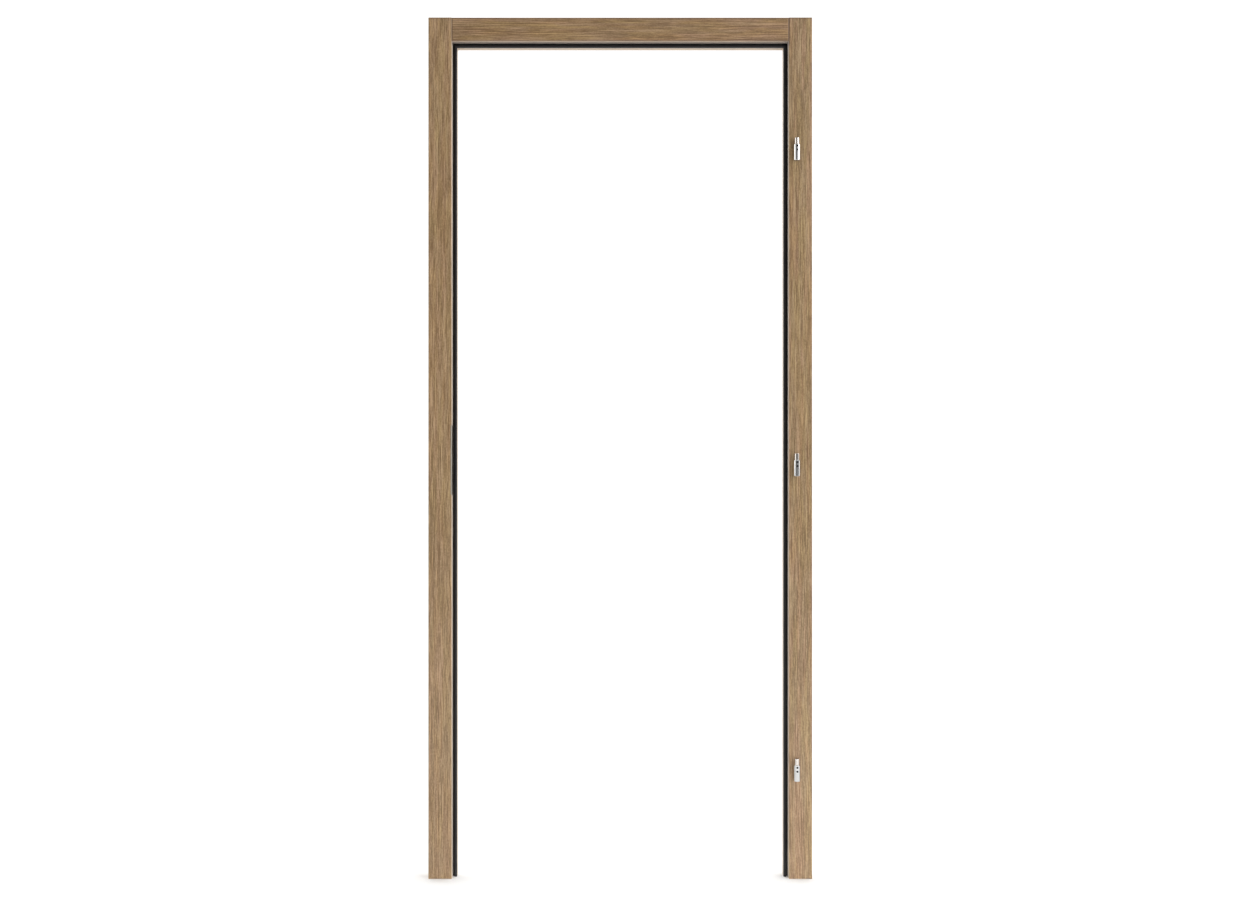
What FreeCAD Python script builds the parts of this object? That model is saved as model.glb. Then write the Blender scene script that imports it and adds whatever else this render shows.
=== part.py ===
import FreeCAD, Part
import math
import os

# Door frame for a rebated door leaf: two full-height jambs with a head between them, a hollow-bulb seal
# in a groove round three sides, a bent strike plate in the left jamb, and the lower halves of three
# screw-in hinges on the right jamb. The leaf would lift onto their pins.
#
# Millimetres. X runs to the right, Y away from the viewer and Z up. While a piece is made, Y = 0 is the
# front face of the frame. At the end all pieces move together, so that the origin is the centre of the
# part's footprint on the floor.

# Opening and members
PASSAGE_WIDTH = 800.0
PASSAGE_HEIGHT = 2032.0
FACE_WIDTH = 57.0
SHOULDER = 11.0
REBATE_DEPTH = 25.0
SHOULDER_DEPTH = 20.0
OUTER_EDGE_R = 1.5
REBATE_EDGE_R = 2.0
BACK_EDGE_R = 1.5
HEAD_END_R = 1.2

# Seal and its groove
GROOVE_INSET = 4.0
GROOVE_WIDTH = 3.0
GROOVE_DEPTH = 8.0
FLANGE_THICKNESS = 1.2
FLANGE_MARGIN = 0.4
BULB_MARGIN = 0.1
BULB_WIDTH = 6.8
BULB_HEIGHT = 7.0
BULB_WALL = 0.9
BULB_R = 2.6
FOOT_CORE = 1.6
FOOT_LENGTH = 6.6
BARB_COUNT = 3
BARB_CLEARANCE = 0.1
FOOT_TRIM = 0.5

# Corner joint
CORNER_ROWS = (16.0, 41.0)
DOWEL_DIAMETER = 8.0
DOWEL_LENGTH = 40.0
DOWEL_CHAMFER = 1.0
DOWEL_END_ROOM = 0.5
DOWEL_FROM_FACE = 12.5
CORNER_SCREW_DIAMETER = 4.8
CORNER_SCREW_HEAD = 9.0
CORNER_SCREW_LENGTH = 100.0
CORNER_SCREW_SUNK = 0.6
CORNER_SCREW_FROM_BACK = 7.0

# Strike plate, its screws and the cups behind it
STRIKE_HEIGHT = 1021.0
STRIKE_LENGTH = 170.0
STRIKE_LEG = 22.0
STRIKE_THICKNESS = 1.5
STRIKE_INNER_R = 0.5
STRIKE_LIP_FLAT = 0.6
STRIKE_BACK_CORNER_R = 6.0
STRIKE_SEAT_CLEARANCE = 0.15
POCKET_FROM_FACE = 12.5
POCKET_WIDTH = 12.0
POCKET_CORNER_R = 2.0
LATCH_HOLE_LENGTH = 34.0
BOLT_HOLE_LENGTH = 38.0
LATCH_RISE = 31.0
BOLT_DROP = 33.0
LATCH_CUP_DEPTH = 16.0
BOLT_CUP_DEPTH = 24.0
CUP_MARGIN = 0.6
CUP_WALL = 1.4
CUP_DRAFT = 0.5
CUP_CLEARANCE = 0.2
STRIKE_SCREW_INSET = 11.0
STRIKE_SCREW_DIAMETER = 3.5
STRIKE_SCREW_HEAD = 7.0
STRIKE_SCREW_LENGTH = 25.0
STRIKE_SCREW_SUNK = 0.1

# Cross recess of a screw, as shares of its head's diameter
RECESS_LENGTH = 0.55
RECESS_WIDTH = 0.13
RECESS_DEPTH = 0.28

# Hinge halves
HINGE_FROM_REBATE = 19.0
HINGE_PROUD = 9.0
TOP_HINGE_DROP = 293.0
MIDDLE_HINGE_HEIGHT = 982.0
BOTTOM_HINGE_HEIGHT = 240.0
BARREL_DIAMETER = 14.5
BARREL_LENGTH = 39.5
BARREL_TOP_CHAMFER = 1.0
BARREL_FOOT_CHAMFER = 0.6
PIN_DIAMETER = 8.0
PIN_TAIL = 22.0
PIN_CHAMFER = 0.5
JOURNAL_DIAMETER = 10.8
JOURNAL_LENGTH = 16.0
JOURNAL_TOP_R = 1.4
LOCK_GROOVE_DEPTH = 0.6
GRUB_DIAMETER = 5.0
GRUB_DROPS = (5.3, 14.7)
GRUB_SUNK = 0.4
GRUB_TIP_DIAMETER = 3.0
GRUB_SOCKET = 2.5
GRUB_SOCKET_DEPTH = 1.6
SHANK_DIAMETER = 7.0
SHANK_INSET = 9.0
SHANK_ENGAGEMENT = 2.8
SHANK_EMBEDMENT = 34.0
SHANK_POINT = 5.0
SHANK_TIP_SHARE = 0.4

# Fits
TURNED_CLEARANCE = 0.05
BORED_CLEARANCE = 0.05
DRILL_POINT_ANGLE = 118.0

# Sizes that follow
MEMBER_WIDTH = FACE_WIDTH + SHOULDER
MEMBER_DEPTH = REBATE_DEPTH + SHOULDER_DEPTH
HALF_PASSAGE = PASSAGE_WIDTH / 2
HALF_REBATE = HALF_PASSAGE + SHOULDER
HALF_WIDTH = HALF_REBATE + FACE_WIDTH
REBATE_HEIGHT = PASSAGE_HEIGHT + SHOULDER
FRAME_HEIGHT = REBATE_HEIGHT + FACE_WIDTH
CORNER_SCREW_DEPTH = MEMBER_DEPTH - CORNER_SCREW_FROM_BACK
CORNER_HEIGHTS = tuple(REBATE_HEIGHT + row for row in CORNER_ROWS)
STRIKE_BEND_R = STRIKE_THICKNESS + STRIKE_INNER_R
STRIKE_LIP = STRIKE_BEND_R + STRIKE_LIP_FLAT
STRIKE_SCREW_RISES = (STRIKE_LENGTH / 2 - STRIKE_SCREW_INSET, 0.0, STRIKE_SCREW_INSET - STRIKE_LENGTH / 2)
STRIKE_SCREW_HEIGHTS = tuple(STRIKE_HEIGHT + rise for rise in STRIKE_SCREW_RISES)
BARREL_R = BARREL_DIAMETER / 2
PIN_R = PIN_DIAMETER / 2
PIN_BORE_R = PIN_R + TURNED_CLEARANCE
PIN_BORE_POINT = PIN_BORE_R / math.tan(math.radians(DRILL_POINT_ANGLE / 2))
HINGE_X = HALF_REBATE + HINGE_FROM_REBATE
SHANK_START = BARREL_R - SHANK_ENGAGEMENT
SHANK_RISES = (SHANK_INSET, BARREL_LENGTH - SHANK_INSET)
HINGES = {
    "top": REBATE_HEIGHT - TOP_HINGE_DROP,
    "middle": MIDDLE_HINGE_HEIGHT,
    "bottom": BOTTOM_HINGE_HEIGHT,
}
FRONTMOST = HINGE_PROUD + BARREL_R
TO_ORIGIN = FreeCAD.Vector(0, (FRONTMOST - MEMBER_DEPTH) / 2, 0)

X_AXIS = FreeCAD.Vector(1, 0, 0)
Y_AXIS = FreeCAD.Vector(0, 1, 0)
Z_AXIS = FreeCAD.Vector(0, 0, 1)


def vec(x, y, z):
    return FreeCAD.Vector(x, y, z)


def rounded_wire(corners, place):
    """Closed wire through corners (a, b, radius), where place(a, b) gives the point in space."""
    points = [place(a, b) for a, b, _ in corners]
    spans = []
    for index, (_, _, radius) in enumerate(corners):
        here = points[index]
        if radius <= 0:
            spans.append((here, None, here))
            continue
        back = (points[index - 1] - here).normalize()
        ahead = (points[(index + 1) % len(points)] - here).normalize()
        half_angle = back.getAngle(ahead) / 2
        reach = radius / math.tan(half_angle)
        bisector = (back + ahead).normalize()
        middle = here + bisector * (radius / math.sin(half_angle) - radius)
        spans.append((here + back * reach, middle, here + ahead * reach))
    edges = []
    for index, (start, middle, end) in enumerate(spans):
        if middle is not None:
            edges.append(Part.Arc(start, middle, end).toShape())
        following = spans[(index + 1) % len(spans)][0]
        if end.distanceToPoint(following) > 1e-6:
            edges.append(Part.LineSegment(end, following).toShape())
    return Part.Wire(edges)


def prism(corners, place, along):
    """Solid with a rounded outline, drawn out along a vector."""
    return Part.Face(rounded_wire(corners, place)).extrude(along)


def rectangle(low_a, low_b, high_a, high_b, radius=0.0):
    """Corners of a rectangle, all rounded alike."""
    return [(low_a, low_b, radius), (high_a, low_b, radius), (high_a, high_b, radius), (low_a, high_b, radius)]


def turned(outline, base, axis):
    """Solid of revolution. The outline's corners are (distance from the axis, distance along it, rounding)."""
    corners = [(*corner, 0)[:3] for corner in outline]
    solid = Part.Face(rounded_wire(corners, lambda r, along: vec(r, 0, along))).revolve(vec(0, 0, 0), Z_AXIS, 360)
    solid.Placement = FreeCAD.Placement(base, FreeCAD.Rotation(Z_AXIS, axis))
    return solid


def drilled(radius, base, axis, depth):
    return Part.makeCylinder(radius, depth, base, axis)


def mirrored(solid):
    """The same solid on the other side of the opening."""
    return solid.mirror(vec(0, 0, 0), X_AXIS)


def both_sides(solids):
    """A group of separate solids: those given and their mirror images."""
    return Part.makeCompound(solids + [mirrored(solid) for solid in solids])


# Members


def member_section():
    """Section of jamb and head: a from the wall side to the passage, b from the front face to the back."""
    groove = FACE_WIDTH + GROOVE_INSET
    groove_floor = REBATE_DEPTH + GROOVE_DEPTH
    return [
        (0, 0, OUTER_EDGE_R),
        (FACE_WIDTH, 0, REBATE_EDGE_R),
        (FACE_WIDTH, REBATE_DEPTH, 0),
        (groove, REBATE_DEPTH, 0),
        (groove, groove_floor, 0),
        (groove + GROOVE_WIDTH, groove_floor, 0),
        (groove + GROOVE_WIDTH, REBATE_DEPTH, 0),
        (MEMBER_WIDTH, REBATE_DEPTH, 0),
        (MEMBER_WIDTH, MEMBER_DEPTH, BACK_EDGE_R),
        (0, MEMBER_DEPTH, BACK_EDGE_R),
    ]


def plain_jamb():
    """Left jamb as it comes off the moulder, bored for the corner joint only."""
    jamb = prism(member_section(), lambda a, b: vec(a - HALF_WIDTH, b, 0), Z_AXIS * FRAME_HEIGHT)
    holes = []
    for height in CORNER_HEIGHTS:
        depth = DOWEL_LENGTH / 2 + DOWEL_END_ROOM
        radius = DOWEL_DIAMETER / 2 + BORED_CLEARANCE
        holes.append(drilled(radius, vec(-HALF_REBATE, DOWEL_FROM_FACE, height), -X_AXIS, depth))
        holes.append(corner_screw_hole(height))
    return jamb.cut(holes)


def jamb_latch_side():
    """Left jamb with the seat of the strike plate, the two cup mortises and the pilot holes."""
    cutters = [strike_seat(), cup_mortise(*LATCH_POCKET), cup_mortise(*BOLT_POCKET)]
    cutters += [strike_screw_hole(height) for height in STRIKE_SCREW_HEIGHTS]
    return plain_jamb().cut(cutters)


def jamb_hinge_side():
    """Right jamb with the holes for the hinge shanks."""
    holes = []
    radius = SHANK_DIAMETER / 2 + BORED_CLEARANCE
    for foot in HINGES.values():
        for rise in SHANK_RISES:
            holes.append(drilled(radius, vec(HINGE_X, 0, foot + rise), Y_AXIS, SHANK_EMBEDMENT))
    return mirrored(plain_jamb()).cut(holes)


def head_rail():
    """Head: the same section between the jambs, its ends notched round their shoulders and eased in front."""
    start = -HALF_REBATE
    blank = prism(member_section(), lambda a, b: vec(start, b, FRAME_HEIGHT - a), X_AXIS * (2 * HALF_REBATE))
    notch = Part.makeBox(SHOULDER, SHOULDER_DEPTH, MEMBER_WIDTH, vec(start, REBATE_DEPTH, FRAME_HEIGHT - MEMBER_WIDTH))
    cutters = [notch, head_end_easing()]
    for height in CORNER_HEIGHTS:
        dowel_r = DOWEL_DIAMETER / 2 + BORED_CLEARANCE
        dowel_depth = DOWEL_LENGTH / 2 + DOWEL_END_ROOM
        cutters.append(drilled(dowel_r, vec(start, DOWEL_FROM_FACE, height), X_AXIS, dowel_depth))
        cutters.append(corner_screw_hole(height))
    return blank.cut(cutters + [mirrored(cutter) for cutter in cutters])


def head_end_easing():
    """What rounding takes off the front edge at the left end of the head, over its full height."""
    radius = HEAD_END_R
    corner = vec(-HALF_REBATE, 0, REBATE_HEIGHT)
    arc_middle = corner + vec(1, 1, 0) * (radius * (1 - math.sqrt(0.5)))
    arc = Part.Arc(corner + X_AXIS * radius, arc_middle, corner + Y_AXIS * radius).toShape()
    lines = Part.makePolygon([corner + Y_AXIS * radius, corner, corner + X_AXIS * radius]).Edges
    return Part.Face(Part.Wire([arc] + lines)).extrude(Z_AXIS * FACE_WIDTH)


# Corner joint


def corner_dowels():
    """Two dowels at each corner, half in the jamb and half in the head."""
    radius = DOWEL_DIAMETER / 2
    outline = [
        (0, 0),
        (radius - DOWEL_CHAMFER, 0),
        (radius, DOWEL_CHAMFER),
        (radius, DOWEL_LENGTH - DOWEL_CHAMFER),
        (radius - DOWEL_CHAMFER, DOWEL_LENGTH),
        (0, DOWEL_LENGTH),
    ]
    start = -HALF_REBATE - DOWEL_LENGTH / 2
    dowels = [turned(outline, vec(start, DOWEL_FROM_FACE, height), X_AXIS) for height in CORNER_HEIGHTS]
    return both_sides(dowels)


def screw(length, diameter, head, base, axis):
    """Countersunk wood screw with a cross recess. The base point is the middle of its flat head."""
    shaft_r = diameter / 2
    head_r = head / 2
    outline = [(0, 0), (head_r, 0), (shaft_r, head_r - shaft_r), (shaft_r, length - diameter), (0, length)]
    body = turned(outline, vec(0, 0, 0), Z_AXIS)
    length, width, depth = head * RECESS_LENGTH, head * RECESS_WIDTH, head * RECESS_DEPTH
    slot = Part.makeBox(length, width, depth, vec(-length / 2, -width / 2, 0))
    cross = Part.makeBox(width, length, depth, vec(-width / 2, -length / 2, 0))
    body = body.cut([slot, cross])
    body.Placement = FreeCAD.Placement(base, FreeCAD.Rotation(Z_AXIS, axis))
    return body


def screw_hole(length, diameter, head, sunk, base, axis):
    """Hole for such a screw, countersunk, and open above the head by the depth that it is sunk."""
    shaft_r = diameter / 2 + BORED_CLEARANCE
    head_r = head / 2 + BORED_CLEARANCE
    cone = head_r - shaft_r
    outline = [(0, -sunk), (head_r, -sunk), (head_r, 0), (shaft_r, cone), (shaft_r, length), (0, length)]
    return turned(outline, base, axis)


def corner_screw_place(height):
    return vec(CORNER_SCREW_SUNK - HALF_WIDTH, CORNER_SCREW_DEPTH, height)


def corner_screw_hole(height):
    """Hole through the left jamb into the end of the head."""
    length = CORNER_SCREW_LENGTH
    place = corner_screw_place(height)
    return screw_hole(length, CORNER_SCREW_DIAMETER, CORNER_SCREW_HEAD, CORNER_SCREW_SUNK, place, X_AXIS)


def corner_screws():
    """Two long screws at each corner, driven from the wall side of the jamb into the head."""
    sizes = (CORNER_SCREW_LENGTH, CORNER_SCREW_DIAMETER, CORNER_SCREW_HEAD)
    return both_sides([screw(*sizes, corner_screw_place(height), X_AXIS) for height in CORNER_HEIGHTS])


# Seal. Its section has p from the rebate side to the passage and q from its seat towards the viewer.


def seal_cap_faces(place):
    """Flange with a hollow bulb at its passage edge, as one face with a hole."""
    left = FLANGE_MARGIN
    right = SHOULDER - BULB_MARGIN
    bulb_left = right - BULB_WIDTH
    chamber_r = BULB_R - BULB_WALL
    outer = [
        (left, 0, 0),
        (right, 0, 0),
        (right, BULB_HEIGHT, BULB_R),
        (bulb_left, BULB_HEIGHT, BULB_R),
        (bulb_left, FLANGE_THICKNESS, 0),
        (left, FLANGE_THICKNESS, 0),
    ]
    chamber = [
        (right - BULB_WALL, FLANGE_THICKNESS, 0),
        (right - BULB_WALL, BULB_HEIGHT - BULB_WALL, chamber_r),
        (bulb_left + BULB_WALL, BULB_HEIGHT - BULB_WALL, chamber_r),
        (bulb_left + BULB_WALL, FLANGE_THICKNESS, 0),
    ]
    outside = Part.Face(rounded_wire(outer, place))
    inside = Part.Face(rounded_wire(chamber, place))
    return outside.cut(inside)


def seal_foot_face(place):
    """Foot with a row of barbs on each side, which grip the groove."""
    middle = GROOVE_INSET + GROOVE_WIDTH / 2
    core = FOOT_CORE / 2
    tip = GROOVE_WIDTH / 2 - BARB_CLEARANCE
    pitch = FOOT_LENGTH / BARB_COUNT
    side = []
    for barb in range(BARB_COUNT):
        side.append((tip, -barb * pitch - pitch / 2))
        side.append((core, -(barb + 1) * pitch))
    right = [(core, FLANGE_THICKNESS / 2), (core, -pitch / 2)] + side
    left = [(-offset, q) for offset, q in reversed(right)]
    points = [place(middle + offset, q) for offset, q in right + left]
    return Part.Face(Part.makePolygon(points + points[:1]))


def mitre_block(corners):
    """Block with slanted ends, seen from the front, that trims a seal to its mitres."""
    depth = BULB_HEIGHT + GROOVE_DEPTH
    return prism([(x, z, 0) for x, z in corners], lambda x, z: vec(x, REBATE_DEPTH - BULB_HEIGHT, z), Y_AXIS * depth)


def seal_jamb_strip():
    """Seal of the left jamb, from the floor to the mitre."""
    def place(p, q):
        return vec(p - HALF_REBATE, REBATE_DEPTH - q, 0)

    rise = Z_AXIS * REBATE_HEIGHT
    strip = seal_cap_faces(place).extrude(rise).fuse(seal_foot_face(place).extrude(rise))
    outline = [
        (-HALF_REBATE, 0),
        (-HALF_PASSAGE, 0),
        (-HALF_PASSAGE, PASSAGE_HEIGHT),
        (-HALF_REBATE, REBATE_HEIGHT),
    ]
    return strip.common(mitre_block(outline)).removeSplitter()


def seal_head():
    """Seal of the head, mitred at both ends. Its foot stops at the jambs, where the groove ends."""
    def place_from(x):
        return lambda p, q: vec(x, REBATE_DEPTH - q, REBATE_HEIGHT - p)

    outline = [
        (-HALF_REBATE, REBATE_HEIGHT),
        (-HALF_PASSAGE, PASSAGE_HEIGHT),
        (HALF_PASSAGE, PASSAGE_HEIGHT),
        (HALF_REBATE, REBATE_HEIGHT),
    ]
    cap = seal_cap_faces(place_from(-HALF_REBATE)).extrude(X_AXIS * (2 * HALF_REBATE))
    foot_start = FOOT_TRIM - HALF_PASSAGE
    foot = seal_foot_face(place_from(foot_start)).extrude(X_AXIS * (-2 * foot_start))
    return cap.common(mitre_block(outline)).fuse(foot).removeSplitter()


# Strike plate and pockets


def strike_blank(clear, over):
    """Angle section with rounded ends. With clear and over it is the seat that is cut for the plate."""
    edge = -HALF_REBATE
    inner = edge - STRIKE_THICKNESS
    lip_end = edge - STRIKE_LIP - clear
    leg_end = STRIKE_LEG + clear
    bend = 0 if over else STRIKE_BEND_R
    section = [
        (lip_end, -over, 0),
        (edge + over, -over, bend),
        (edge + over, leg_end, 0),
        (inner, leg_end, 0),
        (inner, STRIKE_THICKNESS, STRIKE_INNER_R),
        (lip_end, STRIKE_THICKNESS, 0),
    ]
    foot = STRIKE_HEIGHT - STRIKE_LENGTH / 2 - clear
    top = STRIKE_HEIGHT + STRIKE_LENGTH / 2 + clear
    angle = prism(section, lambda x, y: vec(x, y, foot), Z_AXIS * (top - foot))
    back_r = STRIKE_BACK_CORNER_R
    side_outline = [(-over, foot, 0), (leg_end, foot, back_r), (leg_end, top, back_r), (-over, top, 0)]
    side = prism(side_outline, lambda y, z: vec(lip_end, y, z), X_AXIS * (edge + over - lip_end))
    lip_r = STRIKE_LIP
    front_outline = [(edge + over, foot, 0), (edge + over, top, 0), (lip_end, top, lip_r), (lip_end, foot, lip_r)]
    front = prism(front_outline, lambda x, z: vec(x, -over, z), Y_AXIS * (leg_end + over))
    return angle.common(side).common(front)


def strike_seat():
    return strike_blank(STRIKE_SEAT_CLEARANCE, STRIKE_BEND_R)


def pocket_prism(length, height, grow, start_x, depth):
    """Rounded block on a pocket's centre line, running from start_x into the jamb."""
    half_y = POCKET_WIDTH / 2 + grow
    half_z = length / 2 + grow
    radius = POCKET_CORNER_R + grow
    corners = rectangle(POCKET_FROM_FACE - half_y, height - half_z, POCKET_FROM_FACE + half_y, height + half_z, radius)
    return prism(corners, lambda y, z: vec(start_x, y, z), -X_AXIS * depth)


def strike_plate():
    """Bent plate with a latch hole, a bolt hole and three countersunk screw holes."""
    plate = strike_blank(0, 0)
    start = STRIKE_BEND_R - HALF_REBATE
    cutters = []
    for length, height, _ in (LATCH_POCKET, BOLT_POCKET):
        cutters.append(pocket_prism(length, height, 0, start, 2 * STRIKE_BEND_R))
    for height in STRIKE_SCREW_HEIGHTS:
        cutters.append(strike_screw_hole(height))
    return plate.cut(cutters)


def strike_screw_place(height):
    return vec(-HALF_REBATE - STRIKE_SCREW_SUNK, POCKET_FROM_FACE, height)


def strike_screw_hole(height):
    sizes = (STRIKE_SCREW_LENGTH, STRIKE_SCREW_DIAMETER, STRIKE_SCREW_HEAD, STRIKE_SCREW_SUNK)
    return screw_hole(*sizes, strike_screw_place(height), -X_AXIS)


def strike_screws():
    sizes = (STRIKE_SCREW_LENGTH, STRIKE_SCREW_DIAMETER, STRIKE_SCREW_HEAD)
    screws = [screw(*sizes, strike_screw_place(height), -X_AXIS) for height in STRIKE_SCREW_HEIGHTS]
    return Part.makeCompound(screws)


def drafted_block(length, height, grow, start_x, depth):
    """Rounded block that tapers by the draft on its way into the jamb."""
    wires = []
    for x, size in ((start_x, grow), (start_x - depth, grow - CUP_DRAFT)):
        half_y = POCKET_WIDTH / 2 + size
        half_z = length / 2 + size
        low = (POCKET_FROM_FACE - half_y, height - half_z)
        high = (POCKET_FROM_FACE + half_y, height + half_z)
        wires.append(rounded_wire(rectangle(*low, *high, POCKET_CORNER_R + size), lambda y, z, x=x: vec(x, y, z)))
    return Part.makeLoft(wires, True, True)


def cup(length, height, depth):
    """Moulded cup behind a hole of the strike plate, its rim against the back of the plate."""
    mouth = -HALF_REBATE - STRIKE_THICKNESS
    outside = drafted_block(length, height, CUP_MARGIN + CUP_WALL, mouth, depth + CUP_WALL)
    inside = drafted_block(length, height, CUP_MARGIN, mouth, depth)
    return outside.cut(inside)


def cup_mortise(length, height, depth):
    """Square-bottomed mortise that the cup slides into."""
    start = -HALF_REBATE
    grow = CUP_MARGIN + CUP_WALL + CUP_CLEARANCE
    return pocket_prism(length, height, grow, start, STRIKE_THICKNESS + depth + CUP_WALL)


LATCH_POCKET = (LATCH_HOLE_LENGTH, STRIKE_HEIGHT + LATCH_RISE, LATCH_CUP_DEPTH)
BOLT_POCKET = (BOLT_HOLE_LENGTH, STRIKE_HEIGHT - BOLT_DROP, BOLT_CUP_DEPTH)


# Hinge halves, made round the Z axis with the foot of the barrel at the origin


def barrel():
    """Turned barrel with a blind bore for the pin, two threaded holes in front and two behind."""
    top = BARREL_LENGTH
    bore_floor = top - PIN_TAIL - PIN_CHAMFER
    outline = [
        (0, 0),
        (BARREL_R - BARREL_FOOT_CHAMFER, 0),
        (BARREL_R, BARREL_FOOT_CHAMFER),
        (BARREL_R, top - BARREL_TOP_CHAMFER),
        (BARREL_R - BARREL_TOP_CHAMFER, top),
        (PIN_BORE_R, top),
        (PIN_BORE_R, bore_floor),
        (0, bore_floor - PIN_BORE_POINT),
    ]
    body = turned(outline, vec(0, 0, 0), Z_AXIS)
    holes = []
    for drop in GRUB_DROPS:
        holes.append(drilled(GRUB_DIAMETER / 2 + TURNED_CLEARANCE, vec(0, 0, top - drop), -Y_AXIS, BARREL_DIAMETER))
    for rise in SHANK_RISES:
        start = vec(0, SHANK_START, rise)
        holes.append(drilled(SHANK_DIAMETER / 2 + TURNED_CLEARANCE, start, Y_AXIS, BARREL_DIAMETER))
    return body.cut(holes)


def pin():
    """Turned pin: a tail with a locking groove at each grub screw, and a wider journal for the leaf."""
    seat = BARREL_LENGTH
    journal_r = JOURNAL_DIAMETER / 2
    groove_r = PIN_R - LOCK_GROOVE_DEPTH
    groove_half = GRUB_TIP_DIAMETER / 2 + LOCK_GROOVE_DEPTH
    foot = seat - PIN_TAIL
    outline = [(0, foot), (PIN_R - PIN_CHAMFER, foot), (PIN_R, foot + PIN_CHAMFER)]
    for drop in sorted(GRUB_DROPS, reverse=True):
        middle = seat - drop
        outline += [(PIN_R, middle - groove_half), (groove_r, middle - groove_half)]
        outline += [(groove_r, middle + groove_half), (PIN_R, middle + groove_half)]
    top = seat + JOURNAL_LENGTH
    outline += [(PIN_R, seat), (journal_r, seat), (journal_r, top, JOURNAL_TOP_R), (0, top)]
    return turned(outline, vec(0, 0, 0), Z_AXIS)


def grub_screw(drop):
    """Socket grub screw in the front of the barrel, with a tip in the pin's locking groove."""
    outside = BARREL_R - GRUB_SUNK
    shoulder = PIN_R + TURNED_CLEARANCE
    tip = PIN_R - LOCK_GROOVE_DEPTH + TURNED_CLEARANCE
    radius = GRUB_DIAMETER / 2
    tip_r = GRUB_TIP_DIAMETER / 2
    length = outside - shoulder
    outline = [(0, 0), (radius, 0), (radius, length), (tip_r, length), (tip_r, outside - tip), (0, outside - tip)]
    body = turned(outline, vec(0, 0, 0), Z_AXIS)
    corner_r = GRUB_SOCKET / 2 / math.cos(math.radians(30))
    turns = [math.radians(60 * side) for side in range(7)]
    hexagon = Part.makePolygon([vec(corner_r * math.cos(turn), corner_r * math.sin(turn), 0) for turn in turns])
    body = body.cut(Part.Face(hexagon).extrude(Z_AXIS * GRUB_SOCKET_DEPTH))
    base = vec(0, -outside, BARREL_LENGTH - drop)
    body.Placement = FreeCAD.Placement(base, FreeCAD.Rotation(Z_AXIS, Y_AXIS))
    return body


def grub_screws():
    return Part.makeCompound([grub_screw(drop) for drop in GRUB_DROPS])


def shanks():
    """Two shanks from the back of the barrel into the jamb, pointed for screwing into wood."""
    radius = SHANK_DIAMETER / 2
    length = HINGE_PROUD - SHANK_START + SHANK_EMBEDMENT
    outline = [(0, 0), (radius, 0), (radius, length - SHANK_POINT), (radius * SHANK_TIP_SHARE, length), (0, length)]
    return Part.makeCompound([turned(outline, vec(0, SHANK_START, rise), Y_AXIS) for rise in SHANK_RISES])


def hinge_pieces():
    """The four nodes of each hinge half, set in their places on the right jamb."""
    made = {"body": barrel(), "pin": pin(), "grub_screws": grub_screws(), "shanks": shanks()}
    pieces = {}
    for name, foot in HINGES.items():
        for piece, shape in made.items():
            pieces["hinge_" + name + "_" + piece] = shape.translated(vec(HINGE_X, -HINGE_PROUD, foot))
    return pieces


def all_pieces():
    pieces = {
        "jamb_latch_side": jamb_latch_side(),
        "jamb_hinge_side": jamb_hinge_side(),
        "head_rail": head_rail(),
        "seal_latch_side": seal_jamb_strip(),
        "seal_hinge_side": mirrored(seal_jamb_strip()),
        "seal_head": seal_head(),
        "corner_dowels": corner_dowels(),
        "corner_screws": corner_screws(),
        "strike_plate": strike_plate(),
        "strike_screws": strike_screws(),
        "latch_cup": cup(*LATCH_POCKET),
        "bolt_cup": cup(*BOLT_POCKET),
    }
    pieces.update(hinge_pieces())
    return pieces


os.makedirs("parts", exist_ok=True)
for node, shape in all_pieces().items():
    shape.translated(TO_ORIGIN).exportStep("parts/" + node + ".step")
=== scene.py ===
import math
from collections import namedtuple

import bmesh
import bpy
from bpy.props import FloatProperty, FloatVectorProperty, IntProperty, PointerProperty
from mathutils import Matrix, Vector


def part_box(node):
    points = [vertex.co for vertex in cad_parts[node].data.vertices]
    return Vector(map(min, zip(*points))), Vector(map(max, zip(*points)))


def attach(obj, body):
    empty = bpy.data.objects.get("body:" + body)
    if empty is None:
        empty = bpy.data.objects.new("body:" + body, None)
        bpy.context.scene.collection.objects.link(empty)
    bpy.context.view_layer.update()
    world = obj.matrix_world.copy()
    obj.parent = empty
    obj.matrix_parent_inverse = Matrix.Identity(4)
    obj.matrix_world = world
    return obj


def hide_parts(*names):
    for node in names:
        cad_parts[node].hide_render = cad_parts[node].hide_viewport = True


bl_info = {
    "name": "Oak Door Frame",
    "version": (1, 0, 0),
    "blender": (4, 5, 0),
    "location": "3D View > Sidebar > Door Frame",
    "description": "Finishes, threaded fasteners and studio for a rebated oak door frame",
    "category": "Object",
}

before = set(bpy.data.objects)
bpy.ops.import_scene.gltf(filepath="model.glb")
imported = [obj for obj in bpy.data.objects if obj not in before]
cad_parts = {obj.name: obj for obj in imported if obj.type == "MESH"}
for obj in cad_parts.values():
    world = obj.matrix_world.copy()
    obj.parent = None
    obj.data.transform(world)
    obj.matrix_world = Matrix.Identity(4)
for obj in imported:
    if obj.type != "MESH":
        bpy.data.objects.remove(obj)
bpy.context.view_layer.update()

BODY = "root"
HINGES = ("hinge_top", "hinge_middle", "hinge_bottom")
SEALS = ("seal_latch_side", "seal_hinge_side", "seal_head")
CUPS = ("latch_cup", "bolt_cup")
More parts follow.
